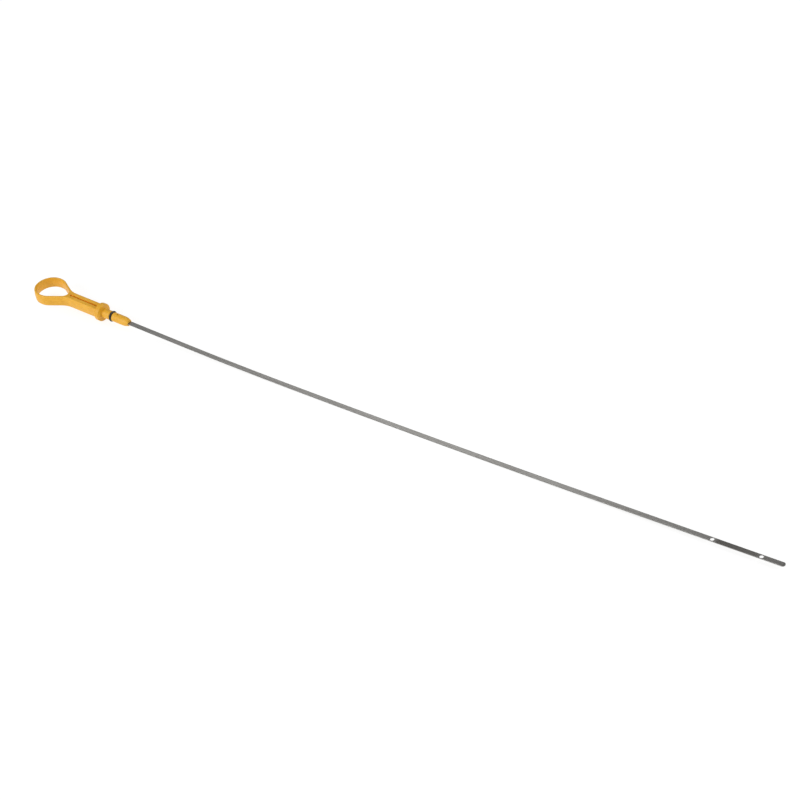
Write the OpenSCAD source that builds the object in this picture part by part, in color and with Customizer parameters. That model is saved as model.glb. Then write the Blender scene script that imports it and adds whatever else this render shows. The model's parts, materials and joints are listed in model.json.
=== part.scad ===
// Engine oil dipstick: moulded finger-loop handle, rubber seal ring and a sprung steel blade.
// The stick lies at rest on a flat surface. +X runs from the handle to the tip, +Z is up.
// Each piece is drawn along its own axis first, with x = 0 at the collar's seat face.

/* [Finger loop] */
// Inner diameter of the finger loop
loop_bore_d = 24.4; // [20:0.2:28]
// Thickness of the loop's wall
loop_wall = 2.4; // [1.8:0.1:3]
// Height of the loop and the stem, across the stick
loop_h = 10; // [8:0.1:12]
// Length of the short straight stretch at the loop's widest place
loop_stretch = 1; // [0.4:0.1:4]
// Angle between each straight side of the loop and the stick
side_angle = 29; // [24:1:34]
// Radius that blends a straight side into the stem
blend_r = 21; // [12:0.5:26]
// Radius at the narrow end of the loop's opening
throat_r = 5; // [3:0.1:7]
// Distance from the loop's centre to the seat face
loop_to_seat = 62.6; // [60:0.2:80]
// Draft of the moulded sides, from the parting line
draft_angle = 4; // [1:0.5:6]
// Radius along the moulded edges
edge_r = 0.7; // [0.3:0.1:0.8]

/* [Stem] */
// Width of the stem at the parting line
stem_w = 9.5; // [8:0.1:11]
// Width of the long groove in the stem
groove_w = 1.7; // [1:0.1:2.6]
// Depth of the groove, from above and from below
groove_depth = 3.4; // [1.5:0.1:3.8]
// Radius along the groove's lip
groove_lip_r = 0.25; // [0.1:0.05:0.4]
// Radius along the groove's floor
groove_floor_r = 0.3; // [0.1:0.05:0.4]
// Solid stretch between the finger opening and the groove
groove_to_opening = 3.1; // [2:0.1:12]
// Solid stretch of the stem between the groove and the collar
groove_to_collar = 2.7; // [2:0.1:6]

/* [Collar and spigot] */
// Diameter of the collar that seats on the tube
collar_d = 16.2; // [14:0.1:20]
// Length of the collar
collar_len = 4.6; // [3:0.1:8]
// Radius along the collar's edges
collar_edge_r = 0.9; // [0.4:0.1:1.2]
// Diameter of the spigot that enters the tube
spigot_d = 8.3; // [7.8:0.1:10]
// Length of the spigot from the seat face to its end
spigot_len = 29.6; // [25:0.1:34]
// Radius of the fillet where the spigot leaves the collar
spigot_fillet_r = 0.25; // [0.1:0.05:0.6]
// Length of the rounded nose
nose_len = 6; // [4:0.5:8]
// Diameter of the spigot's end
nose_end_d = 5.6; // [5.2:0.1:6.6]
// Diameter of the locating hole above the blade's root
pin_hole_d = 1.4; // [0.8:0.1:2]
// Distance from the seat face to the locating hole
pin_hole_x = 16.7; // [14:0.1:17]

/* [Seal ring] */
// Thickness of the seal ring's round section
ring_section_d = 2; // [1.6:0.1:2.2]
// Inner diameter of the seal ring
ring_bore_d = 5.8; // [5.6:0.1:6.2]
// Distance from the seat face to the middle of the ring
ring_x = 10.4; // [8:0.1:11]
// Room on each side of the ring in its groove
ring_side_gap = 0.2; // [0.05:0.05:0.4]
// Room under the ring in its groove
ring_seat_gap = 0.02; // [0.01:0.01:0.1]
// Chamfer along both edges of the groove that holds the ring
lip_chamfer = 0.4; // [0.3:0.05:0.6]

/* [Blade] */
// Width of the steel strip
blade_w = 4.5; // [3.6:0.1:4.8]
// Thickness of the steel strip
blade_t = 0.7; // [0.4:0.05:1]
// Free length of the strip beyond the spigot, along its bow
blade_free_len = 638.5; // [560:0.5:760]
// Length of the strip held inside the spigot
blade_root_len = 24; // [22:0.5:25]
// Room between the strip and the moulding round it
root_gap = 0.02; // [0.01:0.01:0.06]
// Diameter of the hole that locks the root in the moulding
key_hole_d = 2; // [1:0.1:2.4]
// Distance from the seat face to the locking hole
key_hole_x = 21; // [19:0.1:22]
// Straight stretch of the strip beyond the spigot, before the bow
bow_start_len = 52; // [30:1:80]
// Radius of the bow next to the handle
near_bow_r = 3850; // [3600:50:6000]
// Length of the bow next to the handle
near_bow_len = 128; // [80:1:150]
// Radius of the flatter bow that follows
far_bow_r = 11900; // [9000:100:14000]
// Length of the flatter bow
far_bow_len = 304; // [220:1:310]

/* [Level marks] */
// Diameter of the two level holes
level_hole_d = 3.2; // [2:0.1:3.4]
// Distance from the tip to the lower level hole
low_hole_to_tip = 19.4; // [10:0.1:30]
// Distance between the two level holes
level_gap = 40.8; // [30:0.1:60]

/* [Hidden] */

$fn = 72;
nose_fn = 288;
edge_steps = 8;
blend_steps = 6;
groove_steps = 3;
near_bow_steps = 12;
far_bow_steps = 16;
// Cuts run this far past the faces that they open
over = 1;

// Loop, stem and blend, seen from above
bore_r = loop_bore_d / 2;
ring_r = bore_r + loop_wall;
stem_r = stem_w / 2;
half_h = loop_h / 2;
side_len = (ring_r * cos(side_angle) - stem_r - blend_r * (1 - cos(side_angle))) / sin(side_angle);
side_start = [ring_r * sin(side_angle) - loop_to_seat, ring_r * cos(side_angle)];
blend_c = [
    side_start.x + side_len * cos(side_angle) + blend_r * sin(side_angle),
    stem_r + blend_r
];
throat_x = (bore_r - throat_r) / sin(side_angle) - loop_to_seat;

// Collar, spigot and seal ring
collar_r = collar_d / 2;
spigot_r = spigot_d / 2;
nose_end_r = nose_end_d / 2;
nose_drop = spigot_r - nose_end_r;
nose_arc_r = (nose_drop * nose_drop + nose_len * nose_len) / (2 * nose_drop);
ring_section_r = ring_section_d / 2;
ring_mid_r = ring_bore_d / 2 + ring_section_r;
ring_seat_r = ring_bore_d / 2 - ring_seat_gap;
ring_groove_w = ring_section_d + 2 * ring_side_gap;

// The strip's line: straight root, near bow, flatter bow, straight to the tip
root_x = spigot_len - blade_root_len;
bow_x = spigot_len + bow_start_len;
far_bow_x = bow_x + near_bow_len;
tip_x = far_bow_x + far_bow_len;
blade_x = spigot_len + blade_free_len;
near_angle = near_bow_len / near_bow_r * 180 / PI;
far_angle = far_bow_len / far_bow_r * 180 / PI;
tip_angle = near_angle + far_angle;
near_end = [bow_x + near_bow_r * sin(near_angle), near_bow_r * (1 - cos(near_angle))];
far_c = near_end + far_bow_r * [-sin(near_angle), cos(near_angle)];
far_end = far_c + far_bow_r * [sin(tip_angle), -cos(tip_angle)];
tip_end = strip_point(blade_x, 0);

// At rest the stick touches the ground at the collar's front edge and at the belly of the bow.
// Both are round, so the ground is the common tangent below the two circles.
edge_c = [-collar_edge_r, collar_edge_r - collar_r];
belly_r = far_bow_r + blade_t / 2;
span = far_c - edge_c;
ground_angle = atan2(span.y, span.x) + asin((collar_edge_r - belly_r) / norm(span));
loop_end = loop_to_seat + loop_stretch + ring_r;
x_low = -loop_end * cos(ground_angle);
x_high = tip_end.x * cos(ground_angle) + tip_end.y * sin(ground_angle);
lift = collar_edge_r + edge_c.x * sin(ground_angle) - edge_c.y * cos(ground_angle);

// One side of the moulded section from its lower edge to its upper edge, as [inset, height].
// The side leans inwards from the parting line by the draft and ends in a rounded edge.
function side_points() = [
    for (i = [-edge_steps - 1 : edge_steps + 1])
        let (
            up = sign(i),
            turn = draft_angle + (90 - draft_angle) * (abs(i) - 1) / edge_steps,
            c = [draft_inset() + edge_r, half_h - edge_r]
        )
        i == 0 ? [0, 0] : [c.x - edge_r * cos(turn), up * (c.y + edge_r * sin(turn))]
];

// How far the rounded edge's circle is set in, so that it meets the drafted side smoothly
function draft_inset() = (half_h - edge_r) * tan(draft_angle)
    + edge_r * (1 / cos(draft_angle) - 1);

// Section of the loop's wall: outer side at 0, inner side at loop_wall
module wall_section() {
    outer = side_points();
    inner = [for (i = [len(outer) - 1 : -1 : 0]) [loop_wall - outer[i].x, outer[i].y]];
    polygon(concat(outer, inner));
}

// Section of the stem, seen along the stick
module stem_section() {
    right = side_points();
    left = [for (i = [len(right) - 1 : -1 : 0]) [stem_w - right[i].x, right[i].y]];
    translate([-stem_r, 0]) polygon(concat(right, left));
}

// A length of wall from the origin along +X, its outer side on the X axis
module straight_wall(length)
    rotate([90, 0, 90]) linear_extrude(length) mirror([1, 0]) wall_section();

// A bent length of wall round the Z axis with its outer side away from the axis
module ring_wall(first, turn)
    rotate_extrude(start = first, angle = turn) translate([ring_r, 0]) mirror([1, 0]) wall_section();

// One half of the loop: the far round end, the straight stretch, the flank and the blend
module half_loop() {
    translate([-loop_to_seat - loop_stretch, 0]) ring_wall(90, 90);
    translate([-loop_to_seat - loop_stretch, ring_r]) straight_wall(loop_stretch);
    translate([-loop_to_seat, 0]) ring_wall(90 - side_angle, side_angle);
    translate([side_start.x, side_start.y]) rotate([0, 0, -side_angle]) straight_wall(side_len);
    translate([blend_c.x, blend_c.y])
        rotate_extrude(start = 270 - side_angle, angle = side_angle)
            translate([blend_r, 0]) wall_section();
}

// Fills the fork between the middles of the two flanks, up to the opening's narrow end
module fork_filling() {
    mid = loop_wall / 2;
    arc = [
        for (i = [0 : blend_steps])
            let (a = 270 - side_angle + side_angle * i / blend_steps)
            blend_c + (blend_r + mid) * [cos(a), sin(a)]
    ];
    outward = [sin(side_angle), cos(side_angle)];
    first = side_start - mid * outward;
    upper = concat([first], arc);
    lower = [for (i = [len(upper) - 1 : -1 : 0]) [upper[i].x, -upper[i].y]];
    translate([0, 0, -half_h]) linear_extrude(loop_h) difference() {
        polygon(concat(upper, lower));
        opening_outline();
    }
}

// The finger opening: a round bore that narrows to the throat between straight sides
module opening_outline() {
    outward = [sin(side_angle), cos(side_angle)];
    a = [-loop_to_seat, 0] + bore_r * outward;
    b = [throat_x, 0] + throat_r * outward;
    translate([-loop_to_seat, 0]) circle(bore_r);
    translate([throat_x, 0]) circle(throat_r);
    polygon([a, b, [b.x, -b.y], [a.x, -a.y]]);
}

module stem() {
    translate([blend_c.x, 0]) rotate([90, 0, 90])
        linear_extrude(-blend_c.x - collar_len / 2) stem_section();
}

// Half profile of the groove from its middle: a rounded floor, a plain side and a rounded lip
module groove_profile() {
    end_r = groove_w / 2;
    floor_c = [end_r - groove_floor_r, half_h - groove_depth + groove_floor_r];
    lip_c = [end_r + groove_lip_r, half_h - groove_lip_r];
    turns = [for (i = [0 : groove_steps]) 90 * i / groove_steps];
    floor_arc = [for (a = turns) floor_c + groove_floor_r * [sin(a), -cos(a)]];
    lip_arc = [for (a = turns) lip_c + groove_lip_r * [-cos(a), sin(a)]];
    top = half_h + over;
    polygon(concat([[0, half_h - groove_depth]], floor_arc, lip_arc, [[lip_c.x, top], [0, top]]));
}

// The long groove with round ends, as cut from above
module stem_groove() {
    end_r = groove_w / 2;
    first = throat_x + throat_r + groove_to_opening + end_r;
    last = -collar_len - groove_to_collar - end_r;
    translate([first, 0]) rotate_extrude(start = 90, angle = 180) groove_profile();
    translate([last, 0]) rotate_extrude(start = 270, angle = 180) groove_profile();
    translate([first, 0]) rotate([90, 0, 90]) linear_extrude(last - first) {
        groove_profile();
        mirror([1, 0]) groove_profile();
    }
}

// Half profile of the collar, along X, with rounded edges
module collar_profile() {
    flat_r = collar_r - collar_edge_r;
    translate([-collar_len, 0]) square([collar_len, flat_r]);
    translate([collar_edge_r - collar_len, 0]) square([collar_len - 2 * collar_edge_r, collar_r]);
    for (x = [collar_edge_r - collar_len, -collar_edge_r])
        translate([x, flat_r]) circle(collar_edge_r);
}

// Half profile of the ring's groove round its middle, with chamfered edges
module seal_groove_profile() {
    side = ring_groove_w / 2;
    lip = side + lip_chamfer;
    polygon([
        [-side, ring_seat_r], [side, ring_seat_r], [side, spigot_r - lip_chamfer], [lip, spigot_r],
        [lip, spigot_r + over], [-lip, spigot_r + over], [-lip, spigot_r], [-side, spigot_r - lip_chamfer]
    ]);
}

// Half profile of the spigot: root fillet, plain cylinder, seal groove and a nose that curves in
module spigot_profile() {
    nose_x = spigot_len - nose_len;
    difference() {
        translate([-collar_len / 2, 0]) square([nose_x + collar_len / 2, spigot_r]);
        translate([ring_x, 0]) seal_groove_profile();
    }
    difference() {
        translate([0, spigot_r - over]) square([spigot_fillet_r, over + spigot_fillet_r]);
        translate([spigot_fillet_r, spigot_r + spigot_fillet_r]) circle(spigot_fillet_r);
    }
    intersection() {
        translate([nose_x, spigot_r - nose_arc_r]) circle(nose_arc_r, $fn = nose_fn);
        translate([nose_x, 0]) square([nose_len, spigot_r]);
    }
}

module collar_and_spigot() {
    rotate([0, 90, 0]) rotate_extrude() rotate(90) mirror([0, 1]) {
        collar_profile();
        spigot_profile();
    }
}

// The space that the strip's root takes up in the moulding, with room on every side.
// The moulding fills the locking hole, less the same room.
module root_pocket() {
    difference() {
        translate([root_x - root_gap, -blade_w / 2 - root_gap, -blade_t / 2 - root_gap])
            cube([bow_x - root_x, blade_w + 2 * root_gap, blade_t + 2 * root_gap]);
        translate([key_hole_x, 0, -blade_t])
            cylinder(h = 2 * blade_t, d = key_hole_d - 2 * root_gap);
    }
}

// A point of the strip in its side view: at a length x along it and a height off its middle
function strip_point(x, h) =
    x <= bow_x ? [x, h]
    : x <= far_bow_x ? let (a = near_angle * (x - bow_x) / near_bow_len)
        [bow_x, near_bow_r] + (near_bow_r - h) * [sin(a), -cos(a)]
    : x <= tip_x ? let (a = near_angle + far_angle * (x - far_bow_x) / far_bow_len)
        far_c + (far_bow_r - h) * [sin(a), -cos(a)]
    : far_end + (x - tip_x) * [cos(tip_angle), sin(tip_angle)]
        + h * [-sin(tip_angle), cos(tip_angle)];

// The bowed strip, cut square at both ends
module plain_strip() {
    stations = concat(
        [root_x],
        [for (i = [0 : near_bow_steps - 1]) bow_x + near_bow_len * i / near_bow_steps],
        [for (i = [0 : far_bow_steps]) far_bow_x + far_bow_len * i / far_bow_steps],
        [blade_x]
    );
    lower = [for (x = stations) strip_point(x, -blade_t / 2)];
    upper = [for (i = [len(stations) - 1 : -1 : 0]) strip_point(stations[i], blade_t / 2)];
    rotate([90, 0, 0]) linear_extrude(blade_w, center = true) polygon(concat(lower, upper));
}

// A hole square through the strip, at a length x along it
module strip_hole(x, d) {
    p = strip_point(x, 0);
    turn = x > tip_x ? tip_angle : 0;
    translate([p.x, 0, p.y]) rotate([0, -turn, 0])
        cylinder(h = 2 * (blade_t + over), d = d, center = true);
}

// What is cut away to leave the strip's end round
module tip_corners() {
    p = strip_point(blade_x - blade_w / 2, 0);
    translate([p.x, 0, p.y]) rotate([0, -tip_angle, 0]) difference() {
        translate([0, -blade_w, -blade_t]) cube([blade_w, 2 * blade_w, 2 * blade_t]);
        cylinder(h = 2 * (blade_t + over), d = blade_w, center = true);
    }
}

// Turns the stick onto its two resting places and centres it over the origin
module lay_down() {
    translate([-(x_low + x_high) / 2, 0, lift]) rotate([0, ground_angle, 0]) children();
}

module handle() {
    color([0.92, 0.68, 0.26]) lay_down() difference() {
        union() {
            half_loop();
            mirror([0, 1, 0]) half_loop();
            fork_filling();
            stem();
            collar_and_spigot();
        }
        stem_groove();
        mirror([0, 0, 1]) stem_groove();
        root_pocket();
        translate([pin_hole_x, 0, 0]) cylinder(h = spigot_d, d = pin_hole_d);
    }
}

module seal_ring() {
    color([0.07, 0.07, 0.07]) lay_down() translate([ring_x, 0, 0]) rotate([0, 90, 0])
        rotate_extrude() translate([ring_mid_r, 0]) circle(ring_section_r);
}

module blade() {
    low_x = blade_x - low_hole_to_tip;
    color([0.55, 0.54, 0.52]) lay_down() difference() {
        plain_strip();
        strip_hole(key_hole_x, key_hole_d);
        for (x = [low_x, low_x - level_gap]) strip_hole(x, level_hole_d);
        tip_corners();
    }
}

handle();
seal_ring();
blade();
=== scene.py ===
import json
import math

import bmesh
import bpy
from mathutils import Matrix, Vector


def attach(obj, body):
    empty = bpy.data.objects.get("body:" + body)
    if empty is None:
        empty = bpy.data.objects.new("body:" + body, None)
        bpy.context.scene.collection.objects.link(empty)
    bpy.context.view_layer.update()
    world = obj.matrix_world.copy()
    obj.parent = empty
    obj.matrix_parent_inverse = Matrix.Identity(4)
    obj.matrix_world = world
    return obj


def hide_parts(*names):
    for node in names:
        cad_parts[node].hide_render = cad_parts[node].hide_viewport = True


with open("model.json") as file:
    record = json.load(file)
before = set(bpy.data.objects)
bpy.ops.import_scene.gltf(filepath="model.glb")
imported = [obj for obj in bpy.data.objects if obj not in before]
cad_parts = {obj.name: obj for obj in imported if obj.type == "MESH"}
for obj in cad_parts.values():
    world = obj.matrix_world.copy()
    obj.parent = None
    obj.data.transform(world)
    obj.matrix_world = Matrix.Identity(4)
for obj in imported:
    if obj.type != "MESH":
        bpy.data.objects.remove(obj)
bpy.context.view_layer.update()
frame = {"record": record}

# The line of the stick
# Each piece is drawn in millimetres along +X from the collar's seat face, with the blade's
# broad side level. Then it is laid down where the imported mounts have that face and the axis.
mm = 0.001
mounts = {mount["name"]: mount for mount in frame["record"]["mounts"]}
along = Vector(mounts["guide_tube_spigot"]["axis"]).normalized()
across = Vector((0, 1, 0))
on_axis = Vector(mounts["guide_tube_spigot"]["pos_m"])
on_seat = Vector(mounts["tube_seat"]["pos_m"])
seat = on_axis + along * along.dot(on_seat - on_axis)
turn = Matrix((along, across, along.cross(across))).transposed()
laid_down = Matrix.Translation(seat) @ turn.to_4x4() @ Matrix.Scale(mm, 4)
crease_angle = math.radians(32)


def finished_piece(bm, name, node):
    """Lays a drawn piece down, and puts it in the place of the CAD node that it stands for."""
    bmesh.ops.recalc_face_normals(bm, faces=bm.faces[:])
    bm.transform(laid_down)
    mesh = bpy.data.meshes.new(name)
    bm.to_mesh(mesh)
    bm.free()
    mesh.shade_smooth()
    mesh.set_sharp_from_angle(angle=crease_angle)
    piece = bpy.data.objects.new(name, mesh)
    bpy.context.scene.collection.objects.link(piece)
    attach(piece, "root")
    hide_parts(node)
    return piece


# Moulded handle
# One injection moulding in orange-yellow plastic that parts along its middle plane. The finger
# loop and the stem are one flat plate with drafted sides, and the collar and spigot are round.
loop_bore_r = 12.2
loop_wall = 2.4
loop_half_h = 5.0
loop_stretch = 1.0
loop_to_seat = 62.6
side_angle = math.radians(29)
blend_r = 21.0
throat_r = 5.0
stem_r = 4.75
stem_fillet_r = 0.5
draft = math.radians(4)
edge_r = 0.7
parting_ridge = 0.05
flat_margin = 0.12
groove_r = 0.85
groove_depth = 3.4
groove_draft = 0.05
groove_lip_r = 0.25
groove_floor_r = 0.3
groove_to_opening = 3.1
groove_to_collar = 2.7
collar_r = 8.1
collar_len = 4.6
collar_edge_r = 0.9
spigot_r = 4.15
spigot_len = 29.6
spigot_fillet_r = 0.25
nose_len = 6.0
nose_end_r = 2.8
nose_edge_r = 0.25
ring_x = 10.4
ring_groove_w = 2.4
ring_seat_r = 2.88
lip_chamfer = 0.4
pin_hole_r = 0.7
pin_hole_x = 16.7
pin_hole_field = 1.1
pin_hole_sides = 24
blade_w = 4.5
blade_t = 0.7
blade_root_len = 24.0
root_gap = 0.02
arc_step = math.radians(3.75)
fewest_arc_steps = 4
round_steps = 6
round_sides = 96
weld_dist = 0.002


def corners_of(parts):
    """The vertices of some faces or edges."""
    return list(dict.fromkeys(vert for part in parts for vert in part.verts))


def edges_at(verts):
    """The edges that meet at some vertices."""
    return list(dict.fromkeys(edge for vert in verts for edge in vert.link_edges))


def rim_of(faces):
    """The edges round a region of faces."""
    inside = set(faces)
    edges = dict.fromkeys(edge for face in faces for edge in face.edges)
    return [edge for edge in edges if not inside.issuperset(edge.link_faces) or edge.is_boundary]


def draw_line(bm, start, legs):
    """Draws straight legs, each with its end point, and arcs, each with its centre and angle."""
    known = set(bm.edges)
    tip = bmesh.ops.create_vert(bm, co=(*start, 0))["vert"][0]
    for place, angle in legs:
        if angle is None:
            tip = bmesh.ops.extrude_vert_indiv(bm, verts=[tip])["verts"][0]
            tip.co = (*place, 0)
        else:
            steps = max(fewest_arc_steps, round(abs(angle) / arc_step))
            tip = bmesh.ops.spin(
                bm, geom=[tip], cent=(*place, 0), axis=(0, 0, 1), angle=angle, steps=steps
            )["geom_last"][0]
    return [edge for edge in bm.edges if edge not in known]


def add_image(bm, verts, others, mirror):
    """Adds the mirror image of some geometry, and welds the two where they meet."""
    copy = bmesh.ops.duplicate(bm, geom=verts + others)["geom"]
    image = [part for part in copy if isinstance(part, bmesh.types.BMVert)]
    bmesh.ops.scale(bm, vec=mirror, verts=image)
    bmesh.ops.remove_doubles(bm, verts=verts + image, dist=weld_dist)


def draw_outline(bm, start, legs):
    """Draws a line on one side of the stick's axis and its mirror image, as one closed line."""
    known = set(bm.edges)
    half = draw_line(bm, start, legs)
    add_image(bm, corners_of(half), half, (1, -1, 1))
    return [edge for edge in bm.edges if edge not in known]


def quarter_turn(first=0.0):
    """The angles along a rounded edge, from the first one up to a right angle."""
    return [first + (math.pi / 2 - first) * i / round_steps for i in range(round_steps + 1)]


def step_along(bm, faces, line):
    """Moves a region of faces in and up by a line of insets and heights, which leaves a side."""
    for (inset_a, height_a), (inset_b, height_b) in zip(line, line[1:]):
        bmesh.ops.inset_region(
            bm, faces=faces, thickness=inset_b - inset_a, use_boundary=True, use_even_offset=True
        )
        bmesh.ops.translate(bm, vec=(0, 0, height_b - height_a), verts=corners_of(faces))


def draw_out(bm, edges):
    """Extrudes edges and returns the new ones, which lie on the old ones until they are moved."""
    made = bmesh.ops.extrude_edge_only(bm, edges=edges)["geom"]
    return [part for part in made if isinstance(part, bmesh.types.BMEdge)]


def turn_round(bm, parts):
    """Turns a profile once round the stick's axis."""
    bmesh.ops.spin(
        bm,
        geom=parts,
        cent=(0, 0, 0),
        axis=(1, 0, 0),
        angle=2 * math.pi,
        steps=round_sides,
        use_merge=True,
    )


def fill_flat(bm, edges, normal):
    """Fills the flat inside a loop or between two, seen along its normal."""
    bmesh.ops.triangle_fill(bm, edges=edges, use_beauty=True, normal=normal)


def open_hole(bm, faces, centre, radius, sides, height):
    """Opens a round hole in a patch of faces whose height follows y. Returns its mouth's edges."""
    rim = rim_of(faces)
    bmesh.ops.delete(bm, geom=faces, context="FACES_KEEP_BOUNDARY")
    circle = bmesh.ops.create_circle(
        bm, segments=sides, radius=radius, matrix=Matrix.Translation((centre, 0, 0))
    )["verts"]
    for vert in circle:
        vert.co.z = height(vert.co.y)
    mouth = edges_at(circle)
    fill_flat(bm, rim + mouth, (0, 0, 1))
    return mouth


handle = bmesh.new()

# The plate's outline at the parting line, and the finger opening inside it
outward = Vector((math.sin(side_angle), math.cos(side_angle)))
downhill = Vector((math.cos(side_angle), -math.sin(side_angle)))
loop_c = Vector((-loop_to_seat, 0))
far_c = Vector((-loop_to_seat - loop_stretch, 0))
outer_r = loop_bore_r + loop_wall
side_drop = outer_r * math.cos(side_angle) - stem_r - blend_r * (1 - math.cos(side_angle))
flank_end = loop_c + outward * outer_r + downhill * side_drop / math.sin(side_angle)
blend_c = flank_end + outward * blend_r
throat_c = Vector((-loop_to_seat + (loop_bore_r - throat_r) / math.sin(side_angle), 0))
draw_outline(
    handle,
    (far_c.x - outer_r, 0),
    [
        (far_c, -math.pi / 2),
        ((loop_c.x, outer_r), None),
        (loop_c, -side_angle),
        (flank_end, None),
        (blend_c, side_angle),
        ((-collar_len / 2, stem_r), None),
        ((-collar_len / 2, 0), None),
    ],
)
draw_outline(
    handle,
    (far_c.x - loop_bore_r, 0),
    [
        (far_c, -math.pi / 2),
        ((loop_c.x, loop_bore_r), None),
        (loop_c, -side_angle),
        (throat_c + outward * throat_r, None),
        (throat_c, side_angle - math.pi / 2),
    ],
)
fill_flat(handle, handle.edges[:], (0, 0, 1))
plate = handle.faces[:]

# Its upper side: the ridge at the parting line, the drafted wall, the rounded edge, the flat
edge_in = (loop_half_h - edge_r) * math.tan(draft) + edge_r / math.cos(draft)
side_line = [(0, 0), (parting_ridge, parting_ridge)]
for lean in quarter_turn(draft):
    inset = edge_in - edge_r * math.cos(lean)
    side_line.append((inset, loop_half_h - edge_r * (1 - math.sin(lean))))
side_line.append((edge_in + flat_margin, loop_half_h))
step_along(handle, plate, side_line)

# The long groove in the stem, with a rounded lip and a rounded floor
rim = rim_of(plate)
bmesh.ops.delete(handle, geom=plate, context="FACES")
groove_first = throat_c.x + throat_r + groove_to_opening + groove_r
groove_last = -collar_len - groove_to_collar - groove_r
lip_r = groove_r + groove_lip_r
lip = draw_outline(
    handle,
    (groove_first - lip_r, 0),
    [
        ((groove_first, 0), -math.pi / 2),
        ((groove_last, lip_r), None),
        ((groove_last, 0), -math.pi / 2),
    ],
)
bmesh.ops.translate(handle, vec=(0, 0, loop_half_h), verts=corners_of(lip))
fill_flat(handle, rim + lip, (0, 0, 1))
groove = bmesh.ops.edgeloop_fill(handle, edges=lip)["faces"]
groove_line = []
for lean in quarter_turn():
    groove_line.append((groove_lip_r * math.sin(lean), groove_lip_r * (math.cos(lean) - 1)))
for lean in quarter_turn():
    inset = groove_lip_r + groove_draft + groove_floor_r * (1 - math.cos(lean))
    groove_line.append((inset, groove_floor_r * (1 - math.sin(lean)) - groove_depth))
groove_line.append((groove_line[-1][0] + flat_margin, -groove_depth))
step_along(handle, groove, groove_line)

# The lower side is the same, and the stem flares in a small fillet where it meets the collar
add_image(handle, handle.verts[:], handle.edges[:] + handle.faces[:], (1, 1, -1))
bmesh.ops.bisect_plane(
    handle,
    geom=handle.verts[:] + handle.edges[:] + handle.faces[:],
    plane_co=(-collar_len - stem_fillet_r, 0, 0),
    plane_no=(1, 0, 0),
    clear_outer=True,
)
stem_end = [edge for edge in handle.edges if edge.is_boundary]
leans = quarter_turn()
for lean_a, lean_b in zip(leans, leans[1:]):
    grown_a = stem_fillet_r * (1 - math.cos(lean_a))
    grown_b = stem_fillet_r * (1 - math.cos(lean_b))
    wider = (stem_r + grown_b) / (stem_r + grown_a)
    taller = (loop_half_h + grown_b) / (loop_half_h + grown_a)
    onward = stem_fillet_r * (math.sin(lean_b) - math.sin(lean_a))
    stem_end = draw_out(handle, stem_end)
    bmesh.ops.scale(handle, vec=(1, wider, taller), verts=corners_of(stem_end))
    bmesh.ops.translate(handle, vec=(onward, 0, 0), verts=corners_of(stem_end))

# The collar and the spigot, turned round the axis from half a profile. Its corners beside the
# locating hole bound the patch of skin in which that hole opens.
nose_x = spigot_len - nose_len
nose_drop = spigot_r - nose_end_r
nose_arc_r = (nose_drop * nose_drop + nose_len * nose_len) / (2 * nose_drop)
nose_c = Vector((nose_x, spigot_r - nose_arc_r))
nose_angle = math.asin((nose_len - nose_edge_r) / nose_arc_r)
nose_last = nose_c + nose_arc_r * Vector((math.sin(nose_angle), math.cos(nose_angle)))
nose_corner = nose_edge_r / 3
groove_back = ring_x - ring_groove_w / 2
groove_front = ring_x + ring_groove_w / 2
collar_flat_r = collar_r - collar_edge_r
profile = draw_line(
    handle,
    (-collar_len, collar_flat_r),
    [
        ((collar_edge_r - collar_len, collar_flat_r), -math.pi / 2),
        ((-collar_edge_r, collar_r), None),
        ((-collar_edge_r, collar_flat_r), -math.pi / 2),
        ((0, spigot_r + spigot_fillet_r), None),
        ((spigot_fillet_r, spigot_r + spigot_fillet_r), math.pi / 2),
        ((groove_back - lip_chamfer, spigot_r), None),
        ((groove_back, spigot_r - lip_chamfer), None),
        ((groove_back, ring_seat_r), None),
        ((groove_front, ring_seat_r), None),
        ((groove_front, spigot_r - lip_chamfer), None),
        ((groove_front + lip_chamfer, spigot_r), None),
        ((pin_hole_x - pin_hole_field, spigot_r), None),
        ((pin_hole_x, spigot_r), None),
        ((pin_hole_x + pin_hole_field, spigot_r), None),
        ((nose_x, spigot_r), None),
        (nose_c, -nose_angle),
        ((spigot_len - nose_corner, nose_last.y - nose_corner), None),
        ((spigot_len, nose_last.y - nose_edge_r), None),
    ],
)
turn_round(handle, corners_of(profile) + profile)
open_edges = [edge for edge in handle.edges if edge.is_boundary and edge not in stem_end]
collar_back = [
    edge for edge in open_edges if all(vert.co.x < weld_dist - collar_len for vert in edge.verts)
]
fill_flat(handle, collar_back + stem_end, (1, 0, 0))

# The slot in the spigot's end that holds the blade's root, and the locating hole above it
spigot_end = [edge for edge in handle.edges if edge.is_boundary]
slot_size = Matrix.Diagonal((blade_t + 2 * root_gap, blade_w + 2 * root_gap, 1, 1))
slot_place = Matrix.Translation((spigot_len, 0, 0)) @ Matrix.Rotation(math.pi / 2, 4, "Y")
slot_mouth = bmesh.ops.create_grid(
    handle, x_segments=1, y_segments=1, size=0.5, matrix=slot_place @ slot_size
)["verts"]
slot_edges = edges_at(slot_mouth)
bmesh.ops.delete(handle, geom=slot_mouth[0].link_faces[:], context="FACES_ONLY")
fill_flat(handle, spigot_end + slot_edges, (1, 0, 0))
for x in (pin_hole_x + pin_hole_field, pin_hole_x - pin_hole_field, spigot_len - blade_root_len):
    slot_edges = draw_out(handle, slot_edges)
    for vert in corners_of(slot_edges):
        vert.co.x = x
bmesh.ops.edgeloop_fill(handle, edges=slot_edges)
slot_roof = blade_t / 2 + root_gap
skin = []
roof = []
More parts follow.
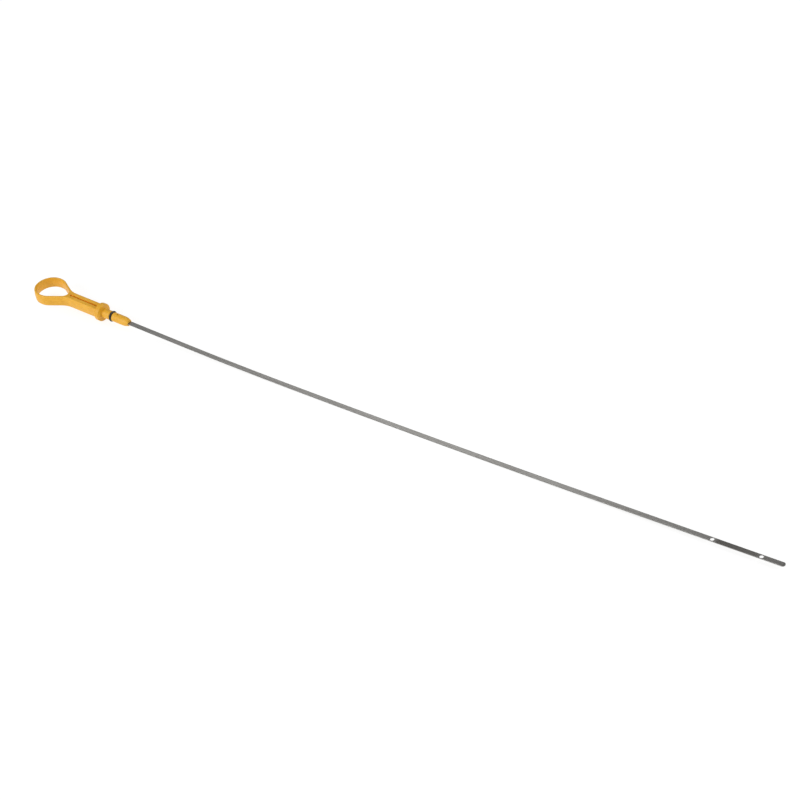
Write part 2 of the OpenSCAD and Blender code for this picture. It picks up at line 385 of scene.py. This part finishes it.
for face in handle.faces:
    middle = face.calc_center_median()
    if max(abs(middle.x - pin_hole_x), abs(middle.y)) < pin_hole_field:
        if middle.z > spigot_r / 2:
            skin.append(face)
        elif abs(middle.z - slot_roof) < weld_dist:
            roof.append(face)
mouth = open_hole(
    handle,
    skin,
    pin_hole_x,
    pin_hole_r,
    pin_hole_sides,
    lambda y: math.sqrt(spigot_r * spigot_r - y * y),
)
foot = open_hole(handle, roof, pin_hole_x, pin_hole_r, pin_hole_sides, lambda y: slot_roof)
wall_foot = draw_out(handle, mouth)
for vert in corners_of(wall_foot):
    vert.co.z = slot_roof
bmesh.ops.remove_doubles(handle, verts=corners_of(wall_foot + foot), dist=weld_dist)

handle = finished_piece(handle, "moulded_handle", "handle")

# The plastic: two close tones of orange-yellow with a fine moulded grain, paler scuffs where the
# rims rub on a hand or a bench, and painted light in the groove: a deeper orange that stands in
# for the light that soaks through and bounces there
orange = (0.70, 0.345, 0.014, 1)
yellow = (0.75, 0.39, 0.026, 1)
scuffed = (0.82, 0.52, 0.16, 1)
# Painted light: the deeper orange in the groove stands in for light that soaks through and bounces
# there
painted_groove_light = (0.92, 0.40, 0.003, 1)
scuff_strength = 0.45
painted_groove_light_strength = 0.85
rim_from = 4.35
collar_clearance = 1.0
soak_half_w = 1.15
soak_from = 4.9
soak_full = 3.6
soak_lead = 2.0
plastic_roughness = 0.36
patch_dulling = 0.08
rub_dulling = 0.2
patch_low = 0.35
patch_high = 0.65
scuff_level = 0.75
scuff_spread = 0.3
scuff_softness = 0.08


def add_node(tree, kind, inputs=None, **settings):
    """Adds a shader node. Each input gets a value, or the socket that feeds it."""
    node = tree.nodes.new(kind)
    for name, value in settings.items():
        setattr(node, name, value)
    for name, value in (inputs or {}).items():
        if isinstance(value, bpy.types.NodeSocket):
            tree.links.new(value, node.inputs[name])
        else:
            node.inputs[name].default_value = value
    return node


def add_math(tree, operation, first, second=0.0):
    """A sum or another operation on two values."""
    return add_node(tree, "ShaderNodeMath", {0: first, 1: second}, operation=operation).outputs[0]


def add_product(tree, first, *factors):
    """The product of two or more values."""
    for factor in factors:
        first = add_math(tree, "MULTIPLY", first, factor)
    return first


def add_ramp(tree, value, low, high):
    """A mask that rises smoothly from 0 at low to 1 at high, or falls where high is the smaller."""
    ramp = add_node(
        tree,
        "ShaderNodeMapRange",
        {"Value": value, "From Min": low, "From Max": high},
        interpolation_type="SMOOTHSTEP",
    )
    return ramp.outputs["Result"]


def add_blend(tree, mask, first, second):
    """A colour that turns from the first to the second as the mask rises."""
    blend = add_node(tree, "ShaderNodeMix", {"Factor": mask, 6: first, 7: second}, data_type="RGBA")
    return blend.outputs[2]


def surface_grain():
    """A node group for worn surfaces: broad patches, a fine grain and thin scuffs, each 0 to 1."""
    group = bpy.data.node_groups.new("surface_grain", "ShaderNodeTree")
    group.interface.new_socket("Vector", in_out="INPUT", socket_type="NodeSocketVector")
    for name in ("Patch Scale", "Grain Scale", "Scuff Scale", "Scuff Share"):
        group.interface.new_socket(name, in_out="INPUT", socket_type="NodeSocketFloat")
    for name in ("Patches", "Grain", "Scuffs"):
        group.interface.new_socket(name, in_out="OUTPUT", socket_type="NodeSocketFloat")
    given = group.nodes.new("NodeGroupInput").outputs
    result = group.nodes.new("NodeGroupOutput").inputs

    def noise(scale, detail, distortion=0.0):
        inputs = {
            "Vector": given["Vector"],
            "Scale": given[scale],
            "Detail": detail,
            "Distortion": distortion,
        }
        return add_node(group, "ShaderNodeTexNoise", inputs).outputs["Fac"]

    patches = add_ramp(group, noise("Patch Scale", 3), patch_low, patch_high)
    scuff_reach = add_product(group, given["Scuff Share"], scuff_spread)
    scuff_from = add_math(group, "SUBTRACT", scuff_level, scuff_reach)
    scuff_to = add_math(group, "ADD", scuff_from, scuff_softness)
    scuffs = add_ramp(group, noise("Scuff Scale", 5, 1.5), scuff_from, scuff_to)
    group.links.new(patches, result["Patches"])
    group.links.new(noise("Grain Scale", 2), result["Grain"])
    group.links.new(scuffs, result["Scuffs"])
    return group


grain_group = surface_grain()


def start_material(name, patch_scale, grain_scale, scuff_scale, scuff_share, stretch=(1, 1, 1)):
    """Starts a material with the worn pattern, in the stick's own millimetres times its stretch."""
    material = bpy.data.materials.new(name)
    material.use_nodes = True
    tree = material.node_tree
    stick_frame = {
        "Vector": add_node(tree, "ShaderNodeTexCoord").outputs["Object"],
        "Location": seat,
        "Rotation": turn.to_euler(),
        "Scale": (mm, mm, mm),
    }
    placed = add_node(tree, "ShaderNodeMapping", stick_frame, vector_type="TEXTURE")
    place = placed.outputs["Vector"]
    stretched = add_node(tree, "ShaderNodeVectorMath", {0: place, 1: stretch}, operation="MULTIPLY")
    wear = {
        "Vector": stretched.outputs["Vector"],
        "Patch Scale": patch_scale,
        "Grain Scale": grain_scale,
        "Scuff Scale": scuff_scale,
        "Scuff Share": scuff_share,
    }
    grain = add_node(tree, "ShaderNodeGroup", wear, node_tree=grain_group).outputs
    return material, tree, place, grain


def finish_material(piece, material, grain, colour, roughness, relief, depth):
    """Feeds the shader, gives it the grain's fine relief, and puts the material on its piece."""
    tree = material.node_tree
    bump = {"Height": grain["Grain"], "Strength": relief, "Distance": depth * mm}
    shader = tree.nodes["Principled BSDF"].inputs
    tree.links.new(colour, shader["Base Color"])
    tree.links.new(roughness, shader["Roughness"])
    tree.links.new(add_node(tree, "ShaderNodeBump", bump).outputs["Normal"], shader["Normal"])
    piece.data.materials.append(material)
    return shader


plastic, tree, place, grain = start_material(
    "orange_yellow_plastic", patch_scale=0.12, grain_scale=5.0, scuff_scale=0.9, scuff_share=0.55
)
x, y, z = add_node(tree, "ShaderNodeSeparateXYZ", {"Vector": place}).outputs
y_off = add_math(tree, "ABSOLUTE", y)
z_off = add_math(tree, "ABSOLUTE", z)
on_rim = add_ramp(tree, z_off, rim_from, loop_half_h)
behind_collar = add_ramp(tree, x, -collar_len, -collar_len - collar_clearance)
rubbed = add_product(tree, on_rim, behind_collar, grain["Scuffs"])
# Painted light: the inside of the groove, where the deeper orange is painted
painted_light_in_groove = add_product(
    tree,
    add_ramp(tree, y_off, soak_half_w, groove_r),
    add_ramp(tree, z_off, soak_from, soak_full),
    behind_collar,
    add_ramp(tree, x, groove_first - soak_lead, groove_first),
)
colour = add_blend(tree, grain["Patches"], orange, yellow)
colour = add_blend(tree, add_product(tree, rubbed, scuff_strength), colour, scuffed)
# Painted light: the deeper orange is laid into the groove
colour = add_blend(tree, add_product(tree, painted_light_in_groove, painted_groove_light_strength), colour, painted_groove_light)
roughness = add_product(tree, grain["Patches"], patch_dulling)
roughness = add_math(tree, "ADD", plastic_roughness, roughness)
roughness = add_math(tree, "ADD", roughness, add_product(tree, rubbed, rub_dulling))
shader = finish_material(handle, plastic, grain, colour, roughness, relief=0.35, depth=0.012)
shader["IOR"].default_value = 1.5
shader["Specular IOR Level"].default_value = 0.4

# Seal ring
# A moulded rubber ring of round section that is stretched into the spigot's groove. It keeps
# the fine line of its mould round the outside.
ring_section_r = 1.0
ring_section_sides = 32
ring_mid_r = 3.9
ring_ridge = 0.03
ring = bmesh.new()
section = bmesh.ops.create_circle(
    ring,
    segments=ring_section_sides,
    radius=ring_section_r,
    matrix=Matrix.Translation((ring_x, ring_mid_r, 0)),
)["verts"]
for vert in section:
    if abs(vert.co.x - ring_x) < weld_dist:
        vert.co.y += math.copysign(ring_ridge, vert.co.y - ring_mid_r)
turn_round(ring, section + edges_at(section))
ring = finished_piece(ring, "rubber_seal_ring", "seal_ring")

# The rubber: near black, with a dull bloom in patches and a trace of dust
rubber_black = (0.007, 0.007, 0.007, 1)
rubber_bloom = (0.016, 0.015, 0.014, 1)
dust = (0.16, 0.15, 0.13, 1)
dust_strength = 0.25
rubber_roughness = 0.42
bloom_dulling = 0.16
rubber, tree, _, grain = start_material(
    "black_seal_rubber", patch_scale=0.7, grain_scale=9.0, scuff_scale=2.5, scuff_share=0.4
)
colour = add_blend(tree, grain["Patches"], rubber_black, rubber_bloom)
colour = add_blend(tree, add_product(tree, grain["Scuffs"], dust_strength), colour, dust)
roughness = add_product(tree, grain["Patches"], bloom_dulling)
roughness = add_math(tree, "ADD", rubber_roughness, roughness)
finish_material(ring, rubber, grain, colour, roughness, relief=0.3, depth=0.008)

# Blade
# A drawn strip of spring steel with rounded edges and a round tip, sprung into a slight bow.
# Two round level holes are punched near the tip, with a rolled diamond hatch between them.
blade_free_len = 638.5
bow_start_len = 52.0
near_bow_r = 3850.0
near_bow_len = 128.0
far_bow_r = 11900.0
far_bow_len = 304.0
level_hole_r = 1.6
low_hole_to_tip = 19.4
level_gap = 40.8
blade_edge_r = 0.16
blade_edge_angle = math.radians(60)
blade_columns = 8
blade_row_len = 9.0
hatch_to_hole = 4.2
hatch_step = 0.6
hatch_depth = 0.07

blade_end = spigot_len + blade_free_len
half_w = blade_w / 2
tip_c = blade_end - half_w
low_hole = blade_end - low_hole_to_tip
high_hole = low_hole - level_gap
hatch_first = high_hole + hatch_to_hole
hatch_last = low_hole - hatch_to_hole
hatch_rows = 2 * round((hatch_last - hatch_first) / hatch_step / 2)

# The upper face from the root to the tip, one length after the other. A plain length has rows
# of the usual length, and the others give their own number.
blade = bmesh.new()
lengths = [
    (spigot_len - blade_root_len, high_hole - half_w, None),
    (high_hole - half_w, high_hole + half_w, blade_columns),
    (high_hole + half_w, hatch_first, 2),
    (hatch_first, hatch_last, hatch_rows),
    (hatch_last, low_hole - half_w, 2),
    (low_hole - half_w, low_hole + half_w, blade_columns),
    (low_hole + half_w, tip_c, 2),
]
for first, last, rows in lengths:
    length_size = Matrix.Diagonal((last - first, blade_w, 1, 1))
    bmesh.ops.create_grid(
        blade,
        x_segments=rows or round((last - first) / blade_row_len),
        y_segments=blade_columns,
        size=0.5,
        matrix=Matrix.Translation(((first + last) / 2, 0, 0)) @ length_size,
    )
draw_line(blade, (tip_c, half_w), [((tip_c, 0), -math.pi)])
bmesh.ops.remove_doubles(blade, verts=blade.verts[:], dist=weld_dist)
open_edges = [edge for edge in blade.edges if len(edge.link_faces) < 2]
tip_rim = [edge for edge in open_edges if all(vert.co.x > tip_c - weld_dist for vert in edge.verts)]
bmesh.ops.edgeloop_fill(blade, edges=tip_rim)
for centre in (high_hole, low_hole):
    field = [face for face in blade.faces if abs(face.calc_center_median().x - centre) < half_w]
    open_hole(blade, field, centre, level_hole_r, 4 * blade_columns, lambda y: 0)

# Its thickness, the rounded edges of the strip and of the holes, and the diamond hatch
bmesh.ops.translate(blade, vec=(0, 0, blade_t / 2), verts=blade.verts[:])
made = bmesh.ops.extrude_face_region(blade, geom=blade.faces[:], use_keep_orig=True)["geom"]
under = [part for part in made if isinstance(part, bmesh.types.BMVert)]
bmesh.ops.translate(blade, vec=(0, 0, -blade_t), verts=under)
bmesh.ops.recalc_face_normals(blade, faces=blade.faces[:])
blade.normal_update()
bmesh.ops.bevel(
    blade,
    geom=[edge for edge in blade.edges if edge.calc_face_angle(0) > blade_edge_angle],
    affect="EDGES",
    offset_type="OFFSET",
    offset=blade_edge_r,
    segments=3,
    profile=0.5,
    material=-1,
    clamp_overlap=True,
)
hatch_floor = blade.verts.layers.float.new("hatch_floor")
column_w = blade_w / blade_columns
row_len = (hatch_last - hatch_first) / hatch_rows
for vert in blade.verts:
    row = round((vert.co.x - hatch_first) / row_len)
    column = round((vert.co.y + half_w) / column_w)
    inside = 0 < column < blade_columns and 0 <= row <= hatch_rows
    if inside and vert.co.z > blade_t / 2 - weld_dist and (row + column) % 2:
        vert.co.z -= hatch_depth
        vert[hatch_floor] = 1

# The bow: straight from the spigot, then two arcs, then straight to the tip
bow_x = spigot_len + bow_start_len
far_bow_x = bow_x + near_bow_len
straight_x = far_bow_x + far_bow_len
near_angle = near_bow_len / near_bow_r
for vert in blade.verts:
    x, height = vert.co.x, vert.co.z
    centre, radius, lean = Vector((bow_x, near_bow_r)), near_bow_r, (x - bow_x) / near_bow_r
    if x > far_bow_x:
        centre += (near_bow_r - far_bow_r) * Vector((math.sin(near_angle), -math.cos(near_angle)))
        radius, lean = far_bow_r, near_angle + (min(x, straight_x) - far_bow_x) / far_bow_r
    if x > bow_x:
        place = centre + (radius - height) * Vector((math.sin(lean), -math.cos(lean)))
        place += max(0, x - straight_x) * Vector((math.cos(lean), math.sin(lean)))
        vert.co.x, vert.co.z = place

blade = finished_piece(blade, "steel_blade", "blade")

# The steel: dull grey with fine drawn lines along the strip, patches where the oil has stained
# it, bare worn edges, and a darker hatch whose floors hold old oil, the hatch lighter towards the
# tip
steel_pale = (0.285, 0.279, 0.268, 1)
steel_dark = (0.235, 0.228, 0.217, 1)
steel_worn = (0.37, 0.365, 0.355, 1)
oil_stain = (0.075, 0.068, 0.058, 1)
drawn_lines = (0.02, 1, 0)
wear_strength = 0.5
wear_from = half_w - 0.45
wear_full = half_w - 0.05
hatch_fade = 3.0
stain_strength = 0.36
floor_stain = 0.4
stain_drop_to_tip = 0.22
steel_roughness = 0.26
line_dulling = 0.12
hatch_dulling = 0.12
steel, tree, place, grain = start_material(
    "drawn_spring_steel",
    patch_scale=0.9,
    grain_scale=11.0,
    scuff_scale=2.2,
    scuff_share=0.5,
    stretch=drawn_lines,
)
x, y, _ = add_node(tree, "ShaderNodeSeparateXYZ", {"Vector": place}).outputs
on_edge = add_ramp(tree, add_math(tree, "ABSOLUTE", y), wear_from, wear_full)
bare = add_product(tree, on_edge, grain["Scuffs"], wear_strength)
in_hatch = add_product(
    tree,
    add_ramp(tree, x, hatch_first - hatch_fade, hatch_first),
    add_ramp(tree, x, hatch_last + hatch_fade, hatch_last),
)
on_floor = add_node(tree, "ShaderNodeAttribute", attribute_name="hatch_floor").outputs["Fac"]
stain = add_math(tree, "ADD", add_product(tree, on_floor, floor_stain), stain_strength)
# The hatch's stain is made lighter towards the tip
stain_drop = add_product(tree, add_ramp(tree, x, hatch_first, hatch_last), stain_drop_to_tip)
stain = add_product(tree, add_math(tree, "SUBTRACT", stain, stain_drop), in_hatch)
colour = add_blend(tree, grain["Patches"], steel_dark, steel_pale)
colour = add_blend(tree, bare, colour, steel_worn)
colour = add_blend(tree, stain, colour, oil_stain)
roughness = add_math(tree, "ADD", steel_roughness, add_product(tree, grain["Grain"], line_dulling))
roughness = add_math(tree, "ADD", roughness, add_product(tree, in_hatch, hatch_dulling))
shader = finish_material(blade, steel, grain, colour, roughness, relief=0.4, depth=0.004)
shader["Metallic"].default_value = 0.9

# Floor, lights and camera
# A white table that glows enough to keep shadows faint, with soft panels all round it. The
# camera stands where the photograph's stood.
floor_half_w = 6.0
floor_white = (0.23, 0.23, 0.228, 1)
floor_grey = (0.22, 0.22, 0.218, 1)
floor_glow = 0.84
sky_seen = 1.0
sky_light = 0.25
camera_place = (0.939848, -1.028209, 1.112185)
camera_right = Vector((0.804013, 0.581961, -0.121999))
camera_back = Vector((0.519943, -0.588549, 0.619088))
camera_up = camera_back.cross(camera_right)

floor_mesh = bpy.data.meshes.new("floor")
floor_bm = bmesh.new()
bmesh.ops.create_grid(floor_bm, x_segments=1, y_segments=1, size=floor_half_w)
floor_bm.to_mesh(floor_mesh)
floor_bm.free()
floor = bpy.data.objects.new("floor", floor_mesh)
bpy.context.scene.collection.objects.link(floor)

paper, tree, _, grain = start_material(
    "pale_floor", patch_scale=0.004, grain_scale=0.8, scuff_scale=0.02, scuff_share=0
)
shader = tree.nodes["Principled BSDF"].inputs
tree.links.new(add_blend(tree, grain["Patches"], floor_grey, floor_white), shader["Base Color"])
shader["Roughness"].default_value = 0.9
shader["Specular IOR Level"].default_value = 0.1
shader["Emission Color"].default_value = (1, 1, 1, 1)
shader["Emission Strength"].default_value = floor_glow
floor.data.materials.append(paper)


def add_light(name, place, size, power):
    """An even square light that faces the middle of the stick."""
    data = bpy.data.lights.new(name, "AREA")
    data.size = size
    data.energy = power
    light = bpy.data.objects.new(name, data)
    facing = Vector(place).to_track_quat("Z", "Y").to_matrix().to_4x4()
    light.matrix_world = Matrix.Translation(place) @ facing
    bpy.context.scene.collection.objects.link(light)


add_light("overhead", (0.0, -0.2, 2.4), size=2.0, power=7.6)
add_light("front", (-0.9, -1.9, 1.1), size=1.4, power=34.5)
add_light("back_right", (1.9, 0.9, 1.3), size=1.4, power=29)
add_light("loop_end", (-2.0, -0.3, 1.3), size=1.4, power=5)
add_light("panel_middle", (-1.265, 1.384, 1.497), size=0.6, power=1.45)
add_light("panel_tip", (-0.96, 1.445, 1.563), size=0.6, power=1.5)

camera_data = bpy.data.cameras.new("camera")
camera_data.sensor_width = 36
camera_data.lens = 99
camera_data.clip_end = 50
camera = bpy.data.objects.new("camera", camera_data)
facing = Matrix((camera_right, camera_up, camera_back)).transposed().to_4x4()
camera.matrix_world = Matrix.Translation(camera_place) @ facing
bpy.context.scene.collection.objects.link(camera)
bpy.context.scene.camera = camera

world = bpy.data.worlds.new("studio")
world.use_nodes = True
tree = world.node_tree
seen = add_node(tree, "ShaderNodeLightPath").outputs["Is Camera Ray"]
air = tree.nodes["Background"].inputs
air["Color"].default_value = (1, 1, 1, 1)
strength = add_math(tree, "ADD", add_product(tree, seen, sky_seen - sky_light), sky_light)
tree.links.new(strength, air["Strength"])
bpy.context.scene.world = world
bpy.context.scene.view_settings.view_transform = "Standard"
